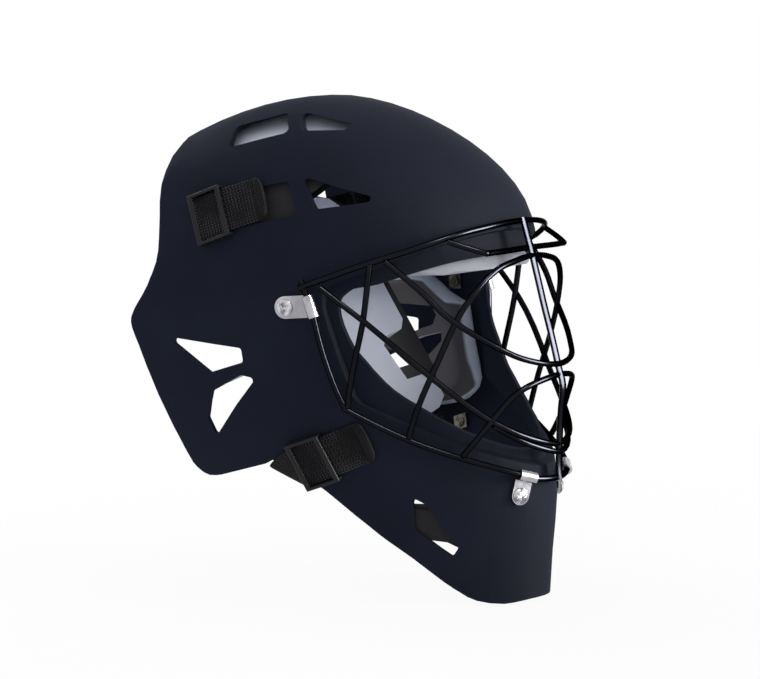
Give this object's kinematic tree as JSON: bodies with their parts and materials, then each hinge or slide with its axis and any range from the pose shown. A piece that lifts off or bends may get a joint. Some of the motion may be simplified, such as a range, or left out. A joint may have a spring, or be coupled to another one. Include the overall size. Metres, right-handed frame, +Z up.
{
  "type": "floorball goalie mask",
  "caption": "Goalie mask with a vented moulded shell, a bent-wire cage held by steel clips, elastic side straps with slide buckles, and a hinged back plate with foam padding inside.",
  "frame": {"origin": "centre of the head cavity, at the height of the temples", "axes": "+Z up, the face opening and cage look along -Y, +X to the wearer's left, the back of the head towards +Y"},
  "size_m": [0.229, 0.2683, 0.3255],
  "materials": {
    "shell_plastic": "satin moulded, very dark blue-black",
    "cage_steel": "black powder coat, gloss",
    "bright_steel": "bright zinc",
    "dark_steel": "dulled, dark zinc",
    "pale_foam": "closed-cell foam with a smooth skin",
    "lining_foam": "closed-cell foam, darker",
    "webbing": "knitted elastic webbing",
    "buckle_plastic": "satin moulded",
    "plate_plastic": "satin moulded"
  },
  "bodies": {
    "shell": {"outer_shell": "shell_plastic", "brow_frame_wire": "cage_steel", "jaw_frame_wire": "cage_steel", "visor_wire": "cage_steel", "cheek_cross_wire": "cage_steel", "chin_guard_wire": "cage_steel", "eye_lower_wire": "cage_steel", "eye_upper_wire": "cage_steel", "mouth_wire": "cage_steel", "temple_strut_right": "cage_steel", "temple_strut_left": "cage_steel", "centre_bar": "cage_steel", "temple_clip_right": "bright_steel", "temple_clip_left": "bright_steel", "chin_clip_right": "bright_steel", "chin_clip_left": "bright_steel", "clip_screws": "bright_steel", "clip_nuts": "bright_steel", "strap_anchor_screws": "dark_steel", "strap_anchor_nuts": "dark_steel", "forehead_pad": "pale_foam", "crown_pad": "pale_foam", "cheek_pad_right": "pale_foam", "cheek_pad_left": "pale_foam", "side_pad_right": "pale_foam", "side_pad_left": "pale_foam", "chin_pad": "lining_foam", "upper_strap_right": "webbing", "upper_strap_left": "webbing", "lower_strap_right": "webbing", "lower_strap_left": "webbing"},
    "back_plate": {"back_plate": "plate_plastic", "back_liner": "pale_foam", "plate_rivets": "dark_steel", "upper_run_right": "webbing", "upper_run_left": "webbing", "lower_run_right": "webbing", "lower_run_left": "webbing"},
    "upper_buckle_right": {"upper_buckle_right": "buckle_plastic"},
    "upper_buckle_left": {"upper_buckle_left": "buckle_plastic"},
    "lower_buckle_right": {"lower_buckle_right": "buckle_plastic"},
    "lower_buckle_left": {"lower_buckle_left": "buckle_plastic"}
  },
  "joints": [
    {"name": "back_plate_swing", "type": "hinge", "parent": "shell", "child": "back_plate", "pos_m": [0, 0.082, 0.09], "axis": [1, 0, 0], "range_deg": [0, 33], "stiffness_Nm_per_rad": 0.35, "springref_deg": -28.65, "deforming": ["upper_run_right", "upper_run_left", "lower_run_right", "lower_run_left"]},
    {"name": "upper_buckle_right_slide", "type": "slide", "parent": "shell", "child": "upper_buckle_right", "axis": [0.0258, -0.94, 0.3401], "range_m": [-0.004, 0.003]},
    {"name": "upper_buckle_left_slide", "type": "slide", "parent": "shell", "child": "upper_buckle_left", "axis": [-0.0258, -0.94, 0.3401], "range_m": [-0.004, 0.003]},
    {"name": "lower_buckle_right_slide", "type": "slide", "parent": "shell", "child": "lower_buckle_right", "axis": [0.0514, -0.9355, 0.3494], "range_m": [-0.004, 0.003]},
    {"name": "lower_buckle_left_slide", "type": "slide", "parent": "shell", "child": "lower_buckle_left", "axis": [-0.0514, -0.9355, 0.3494], "range_m": [-0.004, 0.003]}
  ]
}
